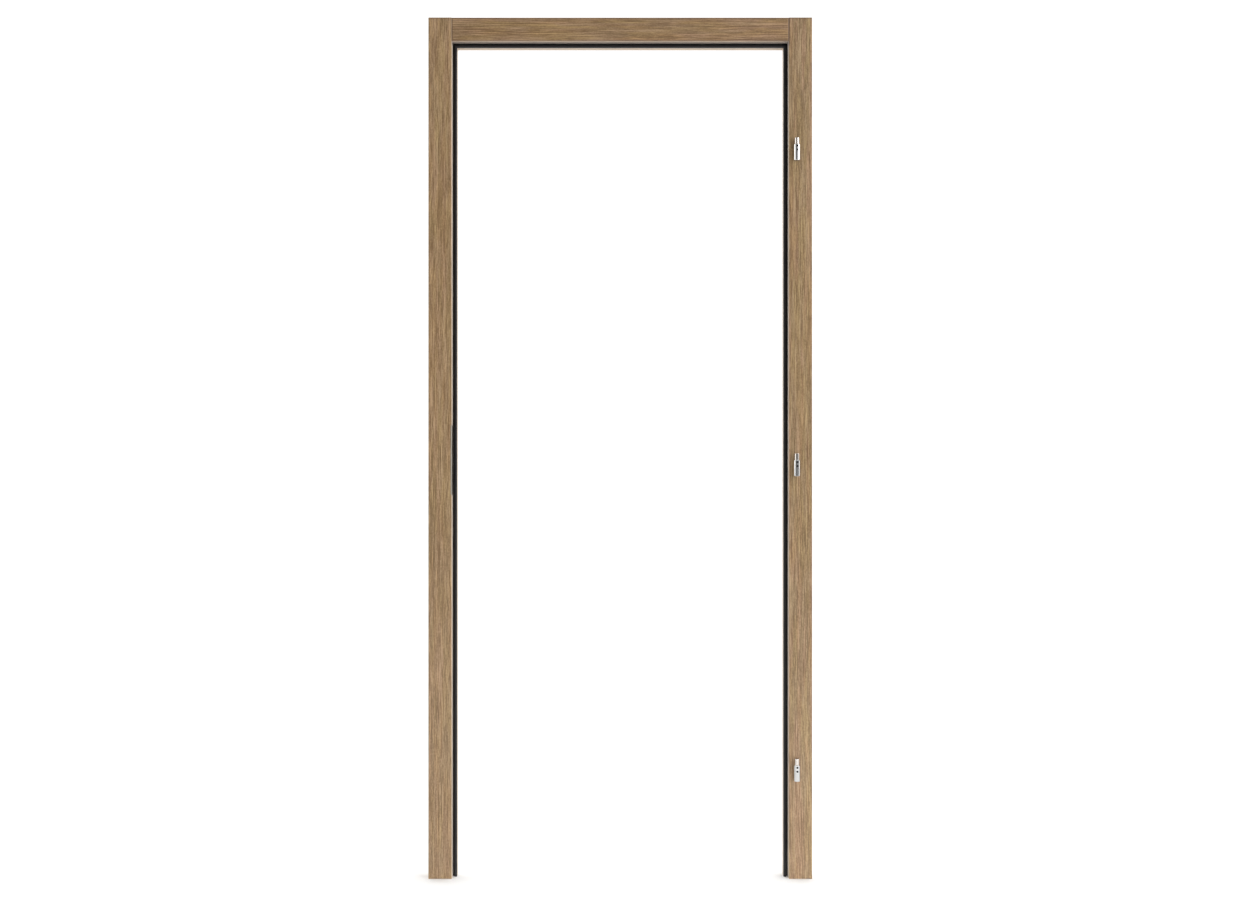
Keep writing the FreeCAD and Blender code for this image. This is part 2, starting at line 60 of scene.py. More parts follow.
# How the print lies on a member: direction of the grain, shift of the pattern, what its tones are multiplied
# by, its contrast, and the shares of the olive and pink bands and of the amber bands
Member = namedtuple("Member", "along offset tint contrast tinge yellow")
MEMBERS = {
    "jamb_latch_side": Member("Z", (0.0, 0.0, 0.0), (1.04, 1.015, 0.93), 1.0, 0.55, 0.55),
    "jamb_hinge_side": Member("Z", (3.7, 1.1, 5.3), (1.035, 1.01, 0.945), 0.95, 0.9, 0.72),
    "head_rail": Member("X", (1.9, 4.2, 0.6), (0.98, 0.915, 0.82), 0.87, 0.6, 1.0),
}
MM = 0.001
SHARP_ANGLE = math.radians(32)
# How far the stop behind the rebate reaches into the passage, past the edge of the front face
SHOULDER = 11 * MM
AXES = {"X": Vector((1, 0, 0)), "Y": Vector((0, 1, 0)), "Z": Vector((0, 0, 1))}

# Measures of the fasteners that the boxes of their nodes don't give
CORNER_SCREW_LENGTH = 100 * MM
CORNER_SCREW_DIAMETER = 4.8 * MM
SCREW_POINT_RADIUS = 0.1 * MM
SHANK_NECK = 7.5 * MM
SHANK_POINT = 5 * MM
GRUB_CHAMFER = 0.25 * MM
GRUB_POINT_DIAMETER = 3 * MM
GRUB_POINT_LENGTH = 0.6 * MM
GRUB_SOCKET_DEPTH = 1.6 * MM
DOWEL_LENGTH = 40 * MM
DOWEL_CHAMFER = 1 * MM
FLUTE_DEPTH = 0.35 * MM

# Lights in front of the frame: the setting that holds the power, the place and what it points at (both from
# the middle of the front face at the floor), the size, and the spread of the beam in degrees
Softbox = namedtuple("Softbox", "power place target size spread")
SOFTBOXES = {
    "key_right": Softbox("key", (3.3, -2.5, 2.5), (0.0, 0.0, 1.0), (1.4, 2.2), 180),
    "low_front": Softbox("low", (0.1, -1.5, 0.16), (0.1, 0.0, 0.16), (2.6, 0.24), 180),
    "toe_front": Softbox("toe", (0.1, -0.4, 0.04), (0.1, 0.0, -0.01), (1.5, 0.04), 32),
    "side_low": Softbox("side", (1.0, -1.1, 0.2), (0.44, 0.0, 0.1), (0.4, 0.2), 36),
    "high_front": Softbox("high", (0.6, -2.4, 3.2), (0.0, 0.0, 1.2), (2.0, 0.8), 180),
}
FLOOR_REACH = 60.0


# Shader building


class Value:
    """A quantity that changes over a surface. Arithmetic on it adds Math nodes to its material."""

    def __init__(self, finish, socket):
        self.finish = finish
        self.socket = socket

    def math(self, operation, *operands):
        return self.finish.add("ShaderNodeMath", {"operation": operation}, dict(enumerate(operands)))

    def __add__(self, other):
        return self.math("ADD", self, other)

    def __radd__(self, other):
        return self.math("ADD", other, self)

    def __sub__(self, other):
        return self.math("SUBTRACT", self, other)

    def __rsub__(self, other):
        return self.math("SUBTRACT", other, self)

    def __mul__(self, other):
        return self.math("MULTIPLY", self, other)

    def __rmul__(self, other):
        return self.math("MULTIPLY", other, self)

    def __abs__(self):
        return self.math("ABSOLUTE", self)

    def above(self, limit):
        return self.math("GREATER_THAN", self, limit)

    def below(self, limit):
        return self.math("LESS_THAN", self, limit)

    def larger(self, other):
        return self.math("MAXIMUM", self, other)

    def part(self, name):
        """Another output of the same node."""
        return Value(self.finish, self.socket.node.outputs[name])


def pick(sockets, key):
    """A socket by its index, or by its identifier, or by its name."""
    if isinstance(key, int):
        return sockets[key]
    for socket in sockets:
        if socket.identifier == key:
            return socket
    return sockets[key]


class Nodes:
    """A node tree under construction, with the pattern nodes that the finishes share."""

    def __init__(self, tree):
        self.tree = tree
        self.tree.nodes.clear()

    def add(self, kind, settings=None, inputs=None, output=0):
        """Adds a node, sets its settings, then the values or links of its sockets, and returns an output."""
        node = self.tree.nodes.new(kind)
        for name, value in (settings or {}).items():
            setattr(node, name, value)
        for key, value in (inputs or {}).items():
            socket = pick(node.inputs, key)
            if isinstance(value, Value):
                self.tree.links.new(value.socket, socket)
            else:
                socket.default_value = value
        return None if output is None else Value(self, pick(node.outputs, output))

    def place(self):
        """Position in the part's own frame, in metres."""
        return self.add("ShaderNodeTexCoord", output="Object")

    def split(self, vector):
        """The three numbers of a vector."""
        first = self.add("ShaderNodeSeparateXYZ", None, {0: vector}, "X")
        return first, first.part("Y"), first.part("Z")

    def stretched(self, vector, scale, offset=(0, 0, 0)):
        inputs = {0: vector, 1: scale, 2: offset}
        return self.add("ShaderNodeVectorMath", {"operation": "MULTIPLY_ADD"}, inputs)

    def noise(self, vector, scale, detail=2.0, roughness=0.5, distortion=0.0):
        inputs = {"Vector": vector, "Scale": scale, "Detail": detail, "Roughness": roughness}
        return self.add("ShaderNodeTexNoise", None, {**inputs, "Distortion": distortion}, "Fac")

    def step(self, value, low, high):
        """0 below low, 1 above high, smooth between."""
        settings = {"interpolation_type": "SMOOTHSTEP"}
        return self.add("ShaderNodeMapRange", settings, {"Value": value, "From Min": low, "From Max": high})

    def mix(self, share, first, second, blend="MIX"):
        """Colours mixed by a share from 0 to 1."""
        settings = {"data_type": "RGBA", "blend_type": blend}
        inputs = {"Factor_Float": share, "A_Color": colour(first), "B_Color": colour(second)}
        return self.add("ShaderNodeMix", settings, inputs, "Result_Color")

    def shaded(self, tone, share):
        """A colour made lighter or darker by a number."""
        return self.add("ShaderNodeVectorMath", {"operation": "SCALE"}, {0: tone, "Scale": share})

    def bump(self, height, depth, strength):
        """Normal from a height of 0 to 1, where 1 stands for a depth in metres."""
        return self.add("ShaderNodeBump", None, {"Height": height, "Distance": depth, "Strength": strength})


class Finish(Nodes):
    """The nodes of a material."""

    def __init__(self, name):
        self.material = bpy.data.materials.new(name)
        self.material.use_nodes = True
        super().__init__(self.material.node_tree)

    def surface(self, **inputs):
        """Ends the material in one shader. Underscores stand for the spaces in the sockets' names."""
        named = {name.replace("_", " "): colour(value) for name, value in inputs.items()}
        shader = self.add("ShaderNodeBsdfPrincipled", None, named)
        self.add("ShaderNodeOutputMaterial", None, {"Surface": shader}, None)
        return self.material


def colour(value):
    """Three numbers as a colour socket takes them. Anything else passes unchanged."""
    if isinstance(value, (Value, float, int)):
        return value
    return (*value, 1.0)


# Settings


class DoorFrameOak(bpy.types.PropertyGroup):
    """Printed oak foil and the board under it."""

    light: FloatVectorProperty(
        name="Light Streaks",
        description="Lightest tone of the printed grain",
        subtype="COLOR",
        default=(0.416, 0.277, 0.156),
        min=0.0,
        max=1.0,
    )
    dark: FloatVectorProperty(
        name="Dark Streaks",
        description="Darkest tone of the printed grain, apart from its pores",
        subtype="COLOR",
        default=(0.146, 0.075, 0.018),
        min=0.0,
        max=1.0,
    )
    blush: FloatVectorProperty(
        name="Pink Bands",
        description="What the pinker bands of the grain are multiplied by",
        subtype="COLOR",
        default=(1.0, 0.94, 0.96),
        min=0.0,
        max=1.0,
    )
    moss: FloatVectorProperty(
        name="Olive Bands",
        description="What the greener bands of the grain are multiplied by",
        subtype="COLOR",
        default=(0.945, 0.985, 0.945),
        min=0.0,
        max=1.0,
    )
    amber: FloatVectorProperty(
        name="Amber Bands",
        description="What the yellower bands of the grain are multiplied by",
        subtype="COLOR",
        default=(1.0, 0.985, 0.75),
        min=0.0,
        max=1.0,
    )
    pore: FloatVectorProperty(
        name="Pores",
        description="Colour at the bottom of the printed pores",
        subtype="COLOR",
        default=(0.115, 0.068, 0.030),
        min=0.0,
        max=1.0,
    )
    # Dark colour of the joints, also used as painted shade in the joints, along the top edge, at the head's
    # lower edge and beside the seal
    seam: FloatVectorProperty(
        name="Joint",
        description="Colour down in the joints between head and jambs",
        subtype="COLOR",
        default=(0.060, 0.018, 0.001),
        min=0.0,
        max=1.0,
    )
    core: FloatVectorProperty(
        name="Board",
        description="Fibreboard that shows on the wall side and at the cut ends",
        subtype="COLOR",
        default=(0.40, 0.27, 0.155),
        min=0.0,
        max=1.0,
    )
    roughness: FloatProperty(
        name="Roughness",
        description="Roughness of the foil",
        subtype="FACTOR",
        default=0.5,
        min=0.0,
        max=1.0,
    )
    haze: FloatProperty(
        name="Haze",
        description="Pale haze of the matt lacquer, seen where the foil runs away from the eye",
        subtype="FACTOR",
        default=0.9,
        min=0.0,
        max=1.0,
    )
    overlap: FloatProperty(
        name="Foil Overlap",
        description="Width of the foil that is turned over onto the wall side",
        unit="LENGTH",
        default=0.008,
        min=0.0,
    )


class DoorFrameSeal(bpy.types.PropertyGroup):
    """Black rubber of the seals."""

    tint: FloatVectorProperty(
        name="Rubber",
        description="Colour of the rubber",
        subtype="COLOR",
        default=(0.011, 0.011, 0.012),
        min=0.0,
        max=1.0,
    )
    roughness: FloatProperty(
        name="Roughness",
        description="Roughness of the rubber",
        subtype="FACTOR",
        default=0.5,
        min=0.0,
        max=1.0,
    )


class DoorFrameMetal(bpy.types.PropertyGroup):
    """Plated and blackened steel."""

    nickel: FloatVectorProperty(
        name="Nickel",
        description="Reflection colour of the hinge halves",
        subtype="COLOR",
        default=(0.57, 0.57, 0.565),
        min=0.0,
        max=1.0,
    )
    pin: FloatVectorProperty(
        name="Pin",
        description="Reflection colour of the hinge pins, a little warmer",
        subtype="COLOR",
        default=(0.57, 0.53, 0.49),
        min=0.0,
        max=1.0,
    )
    zinc: FloatVectorProperty(
        name="Zinc",
        description="Reflection colour of the screws",
        subtype="COLOR",
        default=(0.31, 0.31, 0.30),
        min=0.0,
        max=1.0,
    )
    strike: FloatVectorProperty(
        name="Strike Plate",
        description="Reflection colour of the strike plate",
        subtype="COLOR",
        default=(0.31, 0.282, 0.235),
        min=0.0,
        max=1.0,
    )
    black: FloatVectorProperty(
        name="Grub Screws",
        description="Colour of the blackened grub screws",
        subtype="COLOR",
        default=(0.02, 0.02, 0.022),
        min=0.0,
        max=1.0,
    )


class DoorFrameFasteners(bpy.types.PropertyGroup):
    """Threads and recesses of the screws."""

    strike_pitch: FloatProperty(
        name="Strike Screw Pitch",
        description="Distance between the threads of the strike screws",
        unit="LENGTH",
        default=0.0017,
        min=0.0005,
    )
    corner_pitch: FloatProperty(
        name="Corner Screw Pitch",
        description="Distance between the threads of the corner screws",
        unit="LENGTH",
        default=0.0026,
        min=0.0005,
    )
    shank_pitch: FloatProperty(
        name="Shank Pitch",
        description="Distance between the threads of the hinge shanks",
        unit="LENGTH",
        default=0.0024,
        min=0.0005,
    )
    grub_pitch: FloatProperty(
        name="Grub Screw Pitch",
        description="Distance between the threads of the grub screws",
        unit="LENGTH",
        default=0.0008,
        min=0.0002,
    )
    flutes: IntProperty(name="Dowel Flutes", description="Grooves round each corner dowel", default=20, min=6)


class DoorFrameStudio(bpy.types.PropertyGroup):
    """Camera, floor and light."""

    distance: FloatProperty(
        name="Camera Distance",
        description="From the front face of the frame to the camera",
        unit="LENGTH",
        default=3.5,
        min=0.5,
    )
    height: FloatProperty(
        name="Camera Height",
        description="Camera above the floor",
        unit="LENGTH",
        default=1.0456,
        min=0.0,
    )
    sideways: FloatProperty(
        name="Camera Offset",
        description="Camera to the right of the middle of the frame",
        unit="LENGTH",
        default=-0.0006,
    )
    view_width: FloatProperty(
        name="View Width",
        description="Width of the picture, measured at the front face of the frame",
        unit="LENGTH",
        default=3.023,
        min=0.1,
    )
    left: FloatProperty(
        name="Left Wall",
        description="Brightness in front, at the left",
        default=1.2,
        min=0.0,
    )
    right: FloatProperty(
        name="Right Wall",
        description="Brightness in front, at the right",
        default=2.1,
        min=0.0,
    )
    rim: FloatProperty(
        name="Rim",
        description="Brightness beside the frame and behind it",
        default=2.6,
        min=0.0,
    )
    horizon: FloatProperty(
        name="Horizon",
        description="Brightness of the right wall low down, as a share of that above",
        default=0.25,
    )
    backdrop: FloatProperty(
        name="Backdrop",
        description="Brightness of the surroundings behind the frame",
        default=1.15,
        min=0.0,
    )
    room: FloatProperty(
        name="Room",
        description="Brightness behind the camera",
        default=0.15,
        min=0.0,
    )
    overhead: FloatProperty(
        name="Overhead",
        description="Brightness overhead, as a share of that at the horizon",
        default=0.45,
        min=0.0,
    )
    key: FloatProperty(
        name="Key Light",
        description="Power of the light at the right",
        unit="POWER",
        default=40.0,
    )
    top: FloatProperty(
        name="Top Light",
        description="Strength of the wide light above",
        default=0.65,
        min=0.0,
    )
    low: FloatProperty(
        name="Low Light",
        description="Power of the low light in front",
        unit="POWER",
        default=5.2,
    )
    high: FloatProperty(
        name="High Light",
        description="Power of the high light in front",
        unit="POWER",
        default=5.5,
    )
    side: FloatProperty(
        name="Side Light",
        description="Power of the low light at the right",
        unit="POWER",
        default=0.14,
    )
    toe: FloatProperty(
        name="Toe Light",
        description="Power of the strip light at the feet",
        unit="POWER",
        default=0.14,
    )
    # Painted shade: how much the floor's colour is darkened from well in front of the frame to behind the
    # camera
    painted_floor_shade: FloatProperty(
        name="Fall-off",
        description="How much darker the floor gets behind the camera",
        subtype="FACTOR",
        default=0.7,
    )
    floor_tint: FloatVectorProperty(
        name="Floor",
        description="Colour of the floor",
        subtype="COLOR",
        default=(0.86, 0.86, 0.855),
        min=0.0,
        max=1.0,
    )


# Finishes


def grain_frame(finish, along, offset):
    """Position with a gentle sideways drift, so that the streaks wander a little along the member."""
    place = finish.stretched(finish.place(), (1, 1, 1), offset)
    slow = finish.stretched(place, {"X": (1.3, 3, 3), "Z": (3, 3, 1.3)}[along])
    drift = finish.noise(slow, 1.0) - 0.5
    curl = finish.noise(slow, 7.0, 1.0) - 0.5
    across = {"X": Vector((0, 0, 1)), "Z": Vector((1, 0, 0))}[along]
    sway = finish.shaded(across, drift * 0.014 + curl * 0.002)
    return finish.add("ShaderNodeVectorMath", {"operation": "ADD"}, {0: place, 1: sway})


def streaks(finish, grain, along, width, length, detail=1.0, roughness=0.5):
    """Noise drawn out along the member. Width and length are those of a typical streak, in metres."""
    across = 0.5 / width
    lengthwise = 0.5 / length
    scale = {"X": (lengthwise, across, across), "Z": (across, across, lengthwise)}[along]
    return finish.noise(finish.stretched(grain, scale), 1.0, detail, roughness)


def core_mask(finish, node, along, overlap):
    """1 where the board shows: on the wall side, inside the turned-over foil, and at the cut ends."""
    low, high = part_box(node)
    skin = 0.1 * MM
    x, y, z = finish.split(finish.place())
    outward = z if along == "X" else abs(x)
    wall = high.z if along == "X" else max(abs(low.x), abs(high.x))
    open_y = y.above(low.y + overlap) * y.below(high.y - overlap)
    on_wall = outward.above(wall - skin) * open_y
    if along == "X":
        return on_wall.larger(abs(x).above(high.x - skin))
    return on_wall.larger(z.above(high.z - skin)).larger(z.below(low.z + skin))


def stripe(finish, distance, inner, outer):
    """1 up to the inner distance from a line, fading to 0 at the outer one."""
    return 1 - finish.step(abs(distance), inner, outer)


def joint_shade_and_highlight(finish):
    """Masks of the dark lines down the joints between head and jambs, partly the joints themselves and partly
    painted shade in their grooves, and of the pale lines beside them, a painted highlight on the lips.
    """
    low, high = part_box("head_rail")
    x, _, z = finish.split(finish.place())
    left_line = 1.0 * MM - high.x
    right_line = high.x + 0.4 * MM
    left_lip, right_lip = 1.7 * MM, 2.6 * MM
    right = x.above(0)
    beyond = x - left_line - right * (right_line - left_line)
    beside = beyond + left_lip + right * (right_lip - left_lip)
    # Painted shade: dark lines down the joints, partly the joints themselves
    dark = stripe(finish, beyond, 0.8 * MM, 2.4 * MM)
    # Painted highlight: a pale line to the left of each of the joints, as if lit from the right
    lip_highlight = stripe(finish, beside, 0.4 * MM, 1.6 * MM)
    beside_head = z.above(low.z)
    left = x.below(0) * beside_head
    return dark * (beside_head - left * 0.4), lip_highlight * (beside_head + left)


def edge_shade(finish, along):
    """Share of the dark colour of the joints painted as shade along the top edge and, on the head, at its
    lower edge and beside the seal.
    """
    low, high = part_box("head_rail")
    _, y, z = finish.split(finish.place())
    # Painted shade along the top edge
    top = finish.step(z, high.z - 4.8 * MM, high.z - 2.8 * MM) * 0.36
    if along == "Z":
        return top
    # Painted shade on the head: along its lower front edge and in a band beside the seal
    edge = low.z + SHOULDER
    from_edge = z.above(edge - 0.5 * MM)
    front = from_edge * z.below(edge + 3 * MM) * y.below(low.y + 3 * MM)
    inner = from_edge * z.below(edge + 0.5 * MM) * y.above(low.y + 10 * MM)
    return top.larger(front * 0.4).larger(inner * 0.9)


def oak_foil(node, look):
    """Oak-pattern foil with the grain along one axis, and the fibreboard that it is wrapped round."""
    along, offset, tint, contrast, tinge, yellow = MEMBERS[node]
    light, dark = ([part * share for part, share in zip(base, tint)] for base in (look.light, look.dark))
    finish = Finish("oak_foil_" + node)
    grain = grain_frame(finish, along, offset)
    tone = streaks(finish, grain, along, 30 * MM, 900 * MM)
    band = streaks(finish, grain, along, 9 * MM, 240 * MM)
    middling = streaks(finish, grain, along, 1.7 * MM, 150 * MM)
    fine = streaks(finish, grain, along, 0.9 * MM, 38 * MM, 2.0, 0.6)
    fibre = streaks(finish, grain, along, 0.5 * MM, 9 * MM)
    dash = streaks(finish, grain, along, 0.35 * MM, 6 * MM)
    figure = streaks(finish, grain, along, 1.4 * MM, 2.4 * MM)
    pore = finish.step(dash + (band - 0.5) * 0.3, 0.62, 0.72)
    level = (fine - 0.5) * 2.8 + (middling - 0.5) + (band - 0.5) * 0.35 + (tone - 0.5) * 0.3
    level = 0.5 + (level + (fibre - 0.5) * 1.4 + (figure - 0.5) * 0.8) * contrast
    body = finish.mix(level - level * (1 - level) * 0.4, dark, light)
    hue = streaks(finish, grain, along, 5 * MM, 90 * MM)
    cast = finish.mix(finish.step(hue, 0.38, 0.62), look.moss, look.blush)
    warmth = streaks(finish, grain, along, 7 * MM, 60 * MM)
    body = finish.mix(finish.step(warmth, 0.4, 0.6) * yellow, body, look.amber, "MULTIPLY")
    print_and_painted_light = finish.mix(pore * 0.25, finish.mix(tinge, body, cast, "MULTIPLY"), look.pore)
    pale = streaks(finish, grain, along, 0.7 * MM, 90 * MM)
    print_and_painted_light = finish.mix(finish.step(pale, 0.6, 0.74) * 0.45, print_and_painted_light, light)
    joint_and_shade, lip_highlight = joint_shade_and_highlight(finish)
    # Painted highlight: the pale lines beside the joints are lightened towards the light streak tone
    print_and_painted_light = finish.mix(lip_highlight * 0.4, print_and_painted_light, light)
    # Painted shade: the joints, the top edge, the head's lower edge and the band beside the seal are darkened
    # towards the joints' dark colour
    print_and_painted_light = finish.mix((joint_and_shade * 0.95).larger(edge_shade(finish, along)), print_and_painted_light, look.seam)
    speckle = finish.noise(finish.place(), 1400.0, 3.0, 0.7)
    clump = finish.noise(finish.place(), 120.0, 3.0, 0.6)
    board = finish.shaded(look.core, 0.72 + speckle * 0.36 + clump * 0.2)
    core = core_mask(finish, node, along, look.overlap)
    relief = (fibre - 0.5) * 0.35 + (fine - 0.5) * 0.25 - pore * 0.5
    foil_rough = look.roughness + (fibre - 0.5) * 0.12 + pore * 0.12
    # The base colour holds the printed grain together with the painted shade and painted highlight mixed in
    # above
    return finish.surface(
        Base_Color=finish.mix(core, print_and_painted_light, board),
        Roughness=foil_rough * (1 - core) + core * 0.85,
        Normal=finish.bump(relief * (1 - core) + core * speckle, 0.12 * MM, 0.8),
        IOR=1.6,
        Sheen_Weight=look.haze,
        Sheen_Roughness=0.5,
        Sheen_Tint=(1.0, 0.93, 0.84),
    )


def seal_rubber(look):
    """Extruded black rubber with a fine grain and a dusty bloom."""
    finish = Finish("seal_rubber_black")
    place = finish.place()
    bloom = finish.noise(place, 55.0, 4.0, 0.65)
    grit = finish.noise(place, 2600.0, 2.0, 0.6)
    return finish.surface(
        Base_Color=finish.shaded(look.tint, 0.8 + bloom * 0.4),
        Roughness=look.roughness + (bloom - 0.5) * 0.16 + (grit - 0.5) * 0.08,
        Normal=finish.bump(grit, 0.03 * MM, 0.6),
        IOR=1.36,
    )


def bright_nickel(name, tint):
    """Polished nickel plate on turned steel, with the last trace of the turning lines."""
    finish = Finish(name)
    place = finish.place()
    turning = finish.noise(finish.stretched(place, (60, 60, 5200)), 1.0)
    cloud = finish.noise(place, 160.0, 3.0, 0.6)
    return finish.surface(
        Base_Color=finish.shaded(tint, 0.96 + cloud * 0.08),
        Metallic=1.0,
        Roughness=0.09 + (cloud - 0.5) * 0.06 + (turning - 0.5) * 0.04,
        Normal=finish.bump(turning, 0.002 * MM, 0.1),
    )


def zinc_plate(name, tint, roughness):
    """Zinc plate with its cloudy passivation."""
    finish = Finish(name)
    place = finish.place()
    cloud = finish.noise(place, 240.0, 4.0, 0.65, 0.6)
    grit = finish.noise(place, 3800.0, 2.0, 0.6)
    cool = finish.mix(cloud, tint, (tint[0] * 0.86, tint[1] * 0.88, tint[2] * 0.92))
    return finish.surface(
        Base_Color=finish.shaded(cool, 0.88 + grit * 0.2),
        Metallic=1.0,
        Roughness=roughness + (cloud - 0.5) * 0.2 + (grit - 0.5) * 0.1,
        Normal=finish.bump(grit, 0.01 * MM, 0.5),
    )


def strike_steel(look):
    """Dull grey strike plate, brushed along its length before it was plated."""
    finish = Finish("strike_plate_zinc")
    place = finish.place()
    brushed = finish.noise(finish.stretched(place, (2600, 2600, 60)), 1.0, 3.0, 0.6)
    cloud = finish.noise(place, 90.0, 4.0, 0.6, 0.4)
    return finish.surface(
        Base_Color=finish.shaded(look.strike, 0.84 + cloud * 0.2 + brushed * 0.12),
        Metallic=1.0,
        Roughness=0.36 + (cloud - 0.5) * 0.14 + (brushed - 0.5) * 0.12,
        Normal=finish.bump(brushed, 0.012 * MM, 0.6),
    )


def black_steel(look):
    """Oil-blackened steel of the grub screws."""
    finish = Finish("grub_screw_black")
    mottle = finish.noise(finish.place(), 900.0, 3.0, 0.6)
    return finish.surface(
        Base_Color=finish.shaded(look.black, 0.7 + mottle * 0.6),
        Metallic=0.6,
        Roughness=0.38 + (mottle - 0.5) * 0.2,
        Normal=finish.bump(mottle, 0.01 * MM, 0.5),
    )


def beech_wood():
    """Planed beech of the dowels, with its short dark flecks."""
    finish = Finish("beech_dowel")
    place = finish.place()
    fleck = finish.step(finish.noise(finish.stretched(place, (260, 2600, 2600)), 1.0), 0.56, 0.7)
    fibre = finish.noise(finish.stretched(place, (60, 1800, 1800)), 1.0, 3.0, 0.6)
    body = finish.mix(fibre, (0.56, 0.37, 0.22), (0.68, 0.49, 0.31))
    return finish.surface(
        Base_Color=finish.mix(fleck * 0.6, body, (0.36, 0.21, 0.11)),
        Roughness=0.6 + (fibre - 0.5) * 0.2,
        Normal=finish.bump(fibre, 0.04 * MM, 0.6),
    )


def cup_plastic():
    """Moulded black plastic with a fine spark-eroded texture."""
    finish = Finish("cup_moulded_black")
    place = finish.place()
    texture = finish.noise(place, 2200.0, 3.0, 0.6)
    sheen = finish.noise(place, 80.0, 3.0)
    return finish.surface(
        Base_Color=finish.shaded((0.022, 0.022, 0.023), 0.8 + texture * 0.4),
        Roughness=0.5 + (sheen - 0.5) * 0.2,
        Normal=finish.bump(texture, 0.02 * MM, 0.7),
    )


# Pieces


def dress(nodes, material):
    """Gives CAD nodes a material in their own slots."""
    for name in nodes:
        for material_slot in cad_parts[name].material_slots:
            material_slot.material = material


def ring(bm, height, radius_at, segments):
    """A ring of vertices round Z, whose radius may change with the share of a turn."""
    made = []
    for index in range(segments):
        turn = index / segments
        radius = radius_at(turn)
        x, y = radius * math.cos(math.tau * turn), radius * math.sin(math.tau * turn)
        made.append(bm.verts.new((x, y, height)))
    return made


def skin(bm, rings):
    """Joins each ring to the next with four-sided faces."""
    for low, high in zip(rings, rings[1:]):
        for index, corner in enumerate(low):
            following = (index + 1) % len(low)
            bm.faces.new((corner, low[following], high[following], high[index]))


def outline_at(outline, height):
    """Radius of an outline of (height, radius) points at a height."""
    for (low, low_radius), (high, high_radius) in zip(outline, outline[1:]):
        if height <= high:
            share = (height - low) / (high - low) if high > low else 1.0
            return low_radius + (high_radius - low_radius) * share
    return outline[-1][1]


def smooth_share(value):
    """Value held between 0 and 1 and eased at both ends."""
    held = min(1.0, max(0.0, value))
    return held * held * (3 - 2 * held)


class Thread:
    """A thread cut into a rod: where it starts and ends, its pitch, its depth and the shape of its ridge."""

    CREST = 0.14
    FLANK = 0.50
    RINGS_A_TURN = 10

    def __init__(self, start, end, pitch, depth):
        self.start = start
        self.end = end
        self.pitch = pitch
        self.depth = depth

    def cut(self, height, turn):
        """How deep the groove is at a height and a share of a turn."""
        if not self.start <= height <= self.end:
            return 0.0
        phase = (height / self.pitch - turn) % 1.0
        from_crest = abs(phase - 0.5) * 2
        run_out = smooth_share((height - self.start) / self.pitch)
        return self.depth * run_out * smooth_share((from_crest - self.CREST) / self.FLANK)

    def heights(self):
        count = math.ceil((self.end - self.start) / self.pitch * self.RINGS_A_TURN)
        return [self.start + (self.end - self.start) * index / count for index in range(count + 1)]


def threaded_rod(bm, outline, thread, segments):
    """Rod round Z with a thread. Returns its first and last rings, which are open."""
    heights = sorted({height for height, _ in outline} | set(thread.heights()))
    widest = max(radius for _, radius in outline)
    rings = []
    for height in heights:
        body = outline_at(outline, height)
        share = min(1.0, body / widest)

        def radius_at(turn):
            return max(SCREW_POINT_RADIUS, body - share * thread.cut(height, turn))

        rings.append(ring(bm, height, radius_at, segments))
    skin(bm, rings)
    return rings[0], rings[-1]


def cross_outline(size):
    """Corners of a cross recess, as wide as size, with slender arms."""
    arm = size / 2
    half = size * 0.13
    quarter = [(arm, -half), (arm, half), (half, half)]
    corners = []
    for step in range(4):
        turn = Matrix.Rotation(step * math.pi / 2, 2)
        corners += [turn @ Vector(corner) for corner in quarter]
    return corners


def hexagon_outline(flats):
    """Corners of a hexagon, given the distance between its flats."""
    radius = flats / 2 / math.cos(math.pi / 6)
    turns = [step * math.pi / 3 for step in range(6)]
    return [Vector((radius * math.cos(turn), radius * math.sin(turn))) for turn in turns]


def sunk_recess(bm, rim, corners, depth, taper):
    """Closes a rim with a flat face and, in its middle, a recess that narrows by the taper to its floor."""
    height = rim[0].co.z
    mouth = [bm.verts.new((*corner, height)) for corner in corners]
    floor = [bm.verts.new((*(corner * taper), height + depth)) for corner in corners]
    skin(bm, [mouth, floor])
    bm.faces.new(floor)
    edges = []
    for loop in (rim, mouth):
        for index, corner in enumerate(loop):
            following = loop[(index + 1) % len(loop)]
            edges.append(bm.edges.get((corner, following)) or bm.edges.new((corner, following)))
    bmesh.ops.triangle_fill(bm, use_beauty=True, use_dissolve=False, edges=edges)


def put(bm, base, axis):
    """Moves a form made round Z to its base point, with Z turned to the axis."""
    turn = Vector((0, 0, 1)).rotation_difference(axis).to_matrix().to_4x4()
    bm.transform(Matrix.Translation(base) @ turn)


def gather(forms):
    """One bmesh from several."""
    whole = bmesh.new()
    for form in forms:
        mesh = bpy.data.meshes.new("part")
        form.to_mesh(mesh)
        form.free()
        whole.from_mesh(mesh)
        bpy.data.meshes.remove(mesh)
    return whole


def make_piece(name, bm, material, node):
    """A piece that stands for a CAD node, which it hides, with the material it is given."""
    bmesh.ops.recalc_face_normals(bm, faces=bm.faces)
    for face in bm.faces:
        face.smooth = True
    for edge in bm.edges:
        edge.smooth = edge.calc_face_angle(0.0) < SHARP_ANGLE
    mesh = bpy.data.meshes.new(name)
    bm.to_mesh(mesh)
    bm.free()
    mesh.materials.append(material)
    piece = bpy.data.objects.new(name, mesh)
    bpy.context.scene.collection.objects.link(piece)
    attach(piece, BODY)
    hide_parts(node)


